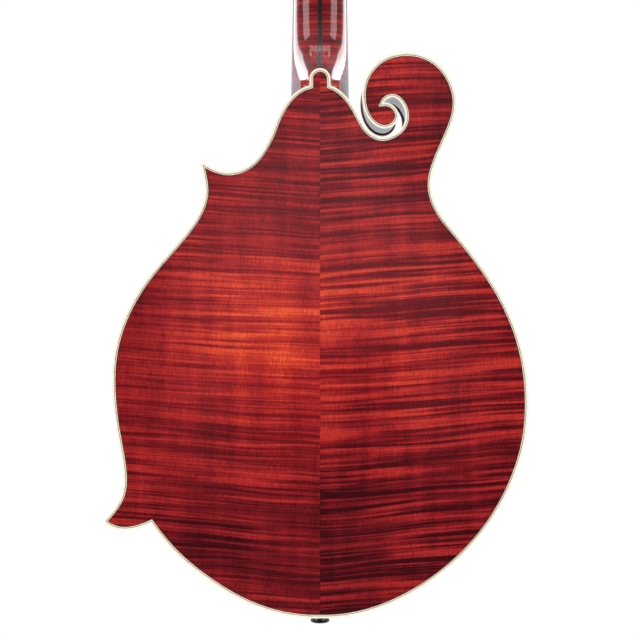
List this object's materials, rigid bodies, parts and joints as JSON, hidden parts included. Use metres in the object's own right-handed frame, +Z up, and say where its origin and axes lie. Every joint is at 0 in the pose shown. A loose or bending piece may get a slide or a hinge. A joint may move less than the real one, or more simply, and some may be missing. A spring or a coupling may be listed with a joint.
{
  "type": "mandolin",
  "caption": "F-style mandolin with carved scroll and points, arched top and back, adjustable bridge, sliding tailpiece cover and geared tuners.",
  "frame": {"origin": "centre of the strap button's rim at the tail, on the centre line and halfway through the rim", "axes": "+Z up the neck, -Y out of the strings' side, +Y out of the carved back, -X the bass side"},
  "size_m": [0.2623, 0.1059, 0.6856],
  "materials": {
    "back_maple": "gloss lacquer over stained flamed maple",
    "top_spruce": "gloss lacquer over stained spruce",
    "rib_maple": "gloss lacquer over stained flamed maple",
    "neck_maple": "gloss lacquer over stained maple",
    "inner_wood": "bare sanded wood",
    "ebony": "oiled ebony",
    "black_lacquer": "gloss black face veneer",
    "ivoroid": "polished ivoroid",
    "black_fibre": "black fibre line",
    "bone": "polished bone",
    "pearl": "mother of pearl",
    "nickel": "bright nickel plate",
    "fret_wire": "polished nickel silver",
    "brass": "bright brass",
    "steel": "plain steel",
    "bronze_wound": "bronze wound wire",
    "button_black": "polished black button"
  },
  "bodies": {
    "body_and_neck": {"back_bass_half": "back_maple", "back_treble_half": "back_maple", "top_bass_half": "top_spruce", "top_treble_half": "top_spruce", "rib_bass": "rib_maple", "rib_treble_lower": "rib_maple", "rib_treble_waist": "rib_maple", "rib_treble_upper": "rib_maple", "head_block": "inner_wood", "tail_block": "inner_wood", "point_blocks": "inner_wood", "linings": "inner_wood", "tone_bars": "inner_wood", "back_binding": "ivoroid", "top_binding": "ivoroid", "purfling_black": "black_fibre", "purfling_ivory": "ivoroid", "neck_bass_half": "neck_maple", "neck_treble_half": "neck_maple", "neck_centre_strip": "ebony", "headstock_overlay": "black_lacquer", "headstock_binding": "ivoroid", "fingerboard": "ebony", "fingerboard_binding": "ivoroid", "frets": "fret_wire", "fret_markers": "pearl", "nut": "bone", "truss_rod": "steel", "truss_rod_cover": "black_lacquer", "bridge_base": "ebony", "bridge_posts": "steel", "tailpiece_base": "nickel", "end_pin": "button_black", "tuner_plates": "nickel", "tuner_bushings": "nickel", "small_screws": "nickel", "strings_wound": "bronze_wound", "strings_plain": "steel"},
    "bridge_saddle": {"bridge_saddle": "ebony"},
    "string_post_1": {"string_post_1": "nickel"},
    "string_post_2": {"string_post_2": "nickel"},
    "string_post_3": {"string_post_3": "nickel"},
    "string_post_4": {"string_post_4": "nickel"},
    "string_post_5": {"string_post_5": "nickel"},
    "string_post_6": {"string_post_6": "nickel"},
    "string_post_7": {"string_post_7": "nickel"},
    "string_post_8": {"string_post_8": "nickel"},
    "tailpiece_cover": {"tailpiece_cover": "nickel"},
    "thumbwheel_bass": {"thumbwheel_bass": "nickel"},
    "thumbwheel_treble": {"thumbwheel_treble": "nickel"},
    "truss_rod_nut": {"truss_rod_nut": "brass"},
    "tuner_knob_1": {"tuner_knob_1": "nickel"},
    "tuner_knob_2": {"tuner_knob_2": "nickel"},
    "tuner_knob_3": {"tuner_knob_3": "nickel"},
    "tuner_knob_4": {"tuner_knob_4": "nickel"},
    "tuner_knob_5": {"tuner_knob_5": "nickel"},
    "tuner_knob_6": {"tuner_knob_6": "nickel"},
    "tuner_knob_7": {"tuner_knob_7": "nickel"},
    "tuner_knob_8": {"tuner_knob_8": "nickel"}
  },
  "joints": [
    {"name": "knob_1_turn", "type": "hinge", "parent": "body_and_neck", "child": "tuner_knob_1", "pos_m": [-0.0185, 0.02161, 0.57598], "axis": [1, 0, 0], "continuous": true},
    {"name": "post_1_turn", "type": "hinge", "parent": "body_and_neck", "child": "string_post_1", "pos_m": [-0.0185, 0.01904, 0.5683], "axis": [0, 0.9483, -0.3173], "continuous": true},
    {"name": "knob_2_turn", "type": "hinge", "parent": "body_and_neck", "child": "tuner_knob_2", "pos_m": [-0.0185, 0.02891, 0.59779], "axis": [1, 0, 0], "continuous": true},
    {"name": "post_2_turn", "type": "hinge", "parent": "body_and_neck", "child": "string_post_2", "pos_m": [-0.0185, 0.02634, 0.59011], "axis": [0, 0.9483, -0.3173], "continuous": true},
    {"name": "knob_3_turn", "type": "hinge", "parent": "body_and_neck", "child": "tuner_knob_3", "pos_m": [-0.0185, 0.03621, 0.6196], "axis": [1, 0, 0], "continuous": true},
    {"name": "post_3_turn", "type": "hinge", "parent": "body_and_neck", "child": "string_post_3", "pos_m": [-0.0185, 0.03364, 0.61192], "axis": [0, 0.9483, -0.3173], "continuous": true},
    {"name": "knob_4_turn", "type": "hinge", "parent": "body_and_neck", "child": "tuner_knob_4", "pos_m": [-0.0185, 0.04351, 0.64141], "axis": [1, 0, 0], "continuous": true},
    {"name": "post_4_turn", "type": "hinge", "parent": "body_and_neck", "child": "string_post_4", "pos_m": [-0.0185, 0.04093, 0.63373], "axis": [0, 0.9483, -0.3173], "continuous": true},
    {"name": "knob_5_turn", "type": "hinge", "parent": "body_and_neck", "child": "tuner_knob_5", "pos_m": [0.0185, 0.02161, 0.57598], "axis": [1, 0, 0], "continuous": true},
    {"name": "post_5_turn", "type": "hinge", "parent": "body_and_neck", "child": "string_post_5", "pos_m": [0.0185, 0.01904, 0.5683], "axis": [0, 0.9483, -0.3173], "continuous": true},
    {"name": "knob_6_turn", "type": "hinge", "parent": "body_and_neck", "child": "tuner_knob_6", "pos_m": [0.0185, 0.02891, 0.59779], "axis": [1, 0, 0], "continuous": true},
    {"name": "post_6_turn", "type": "hinge", "parent": "body_and_neck", "child": "string_post_6", "pos_m": [0.0185, 0.02634, 0.59011], "axis": [0, 0.9483, -0.3173], "continuous": true},
    {"name": "knob_7_turn", "type": "hinge", "parent": "body_and_neck", "child": "tuner_knob_7", "pos_m": [0.0185, 0.03621, 0.6196], "axis": [1, 0, 0], "continuous": true},
    {"name": "post_7_turn", "type": "hinge", "parent": "body_and_neck", "child": "string_post_7", "pos_m": [0.0185, 0.03364, 0.61192], "axis": [0, 0.9483, -0.3173], "continuous": true},
    {"name": "knob_8_turn", "type": "hinge", "parent": "body_and_neck", "child": "tuner_knob_8", "pos_m": [0.0185, 0.04351, 0.64141], "axis": [1, 0, 0], "continuous": true},
    {"name": "post_8_turn", "type": "hinge", "parent": "body_and_neck", "child": "string_post_8", "pos_m": [0.0185, 0.04093, 0.63373], "axis": [0, 0.9483, -0.3173], "continuous": true},
    {"name": "saddle_height", "type": "slide", "parent": "body_and_neck", "child": "bridge_saddle", "axis": [0, -1, 0], "range_m": [-0.0012, 0.0012], "deforming": ["strings_wound", "strings_plain"]},
    {"name": "thumbwheel_bass_turn", "type": "hinge", "parent": "bridge_saddle", "child": "thumbwheel_bass", "pos_m": [-0.037, -0.04658, 0.18604], "axis": [0, -1, 0], "range_deg": [-620, 620]},
    {"name": "thumbwheel_treble_turn", "type": "hinge", "parent": "bridge_saddle", "child": "thumbwheel_treble", "pos_m": [0.037, -0.04658, 0.18604], "axis": [0, -1, 0], "range_deg": [-620, 620]},
    {"name": "cover_slide", "type": "slide", "parent": "body_and_neck", "child": "tailpiece_cover", "axis": [0, 0, -1], "range_m": [0, 0.04]},
    {"name": "truss_nut_turn", "type": "hinge", "parent": "body_and_neck", "child": "truss_rod_nut", "pos_m": [0, -0.00487, 0.54784], "axis": [0, 0.0958, 0.9954], "range_deg": [-360, 360]}
  ],
  "couplings": [
    {"joint": "post_1_turn", "follows": "knob_1_turn", "ratio": -0.0625},
    {"joint": "post_2_turn", "follows": "knob_2_turn", "ratio": -0.0625},
    {"joint": "post_3_turn", "follows": "knob_3_turn", "ratio": -0.0625},
    {"joint": "post_4_turn", "follows": "knob_4_turn", "ratio": -0.0625},
    {"joint": "post_5_turn", "follows": "knob_5_turn", "ratio": -0.0625},
    {"joint": "post_6_turn", "follows": "knob_6_turn", "ratio": -0.0625},
    {"joint": "post_7_turn", "follows": "knob_7_turn", "ratio": -0.0625},
    {"joint": "post_8_turn", "follows": "knob_8_turn", "ratio": -0.0625},
    {"joint": "thumbwheel_bass_turn", "follows": "saddle_height", "rad_per_m": 8976},
    {"joint": "thumbwheel_treble_turn", "follows": "saddle_height", "rad_per_m": 8976}
  ]
}
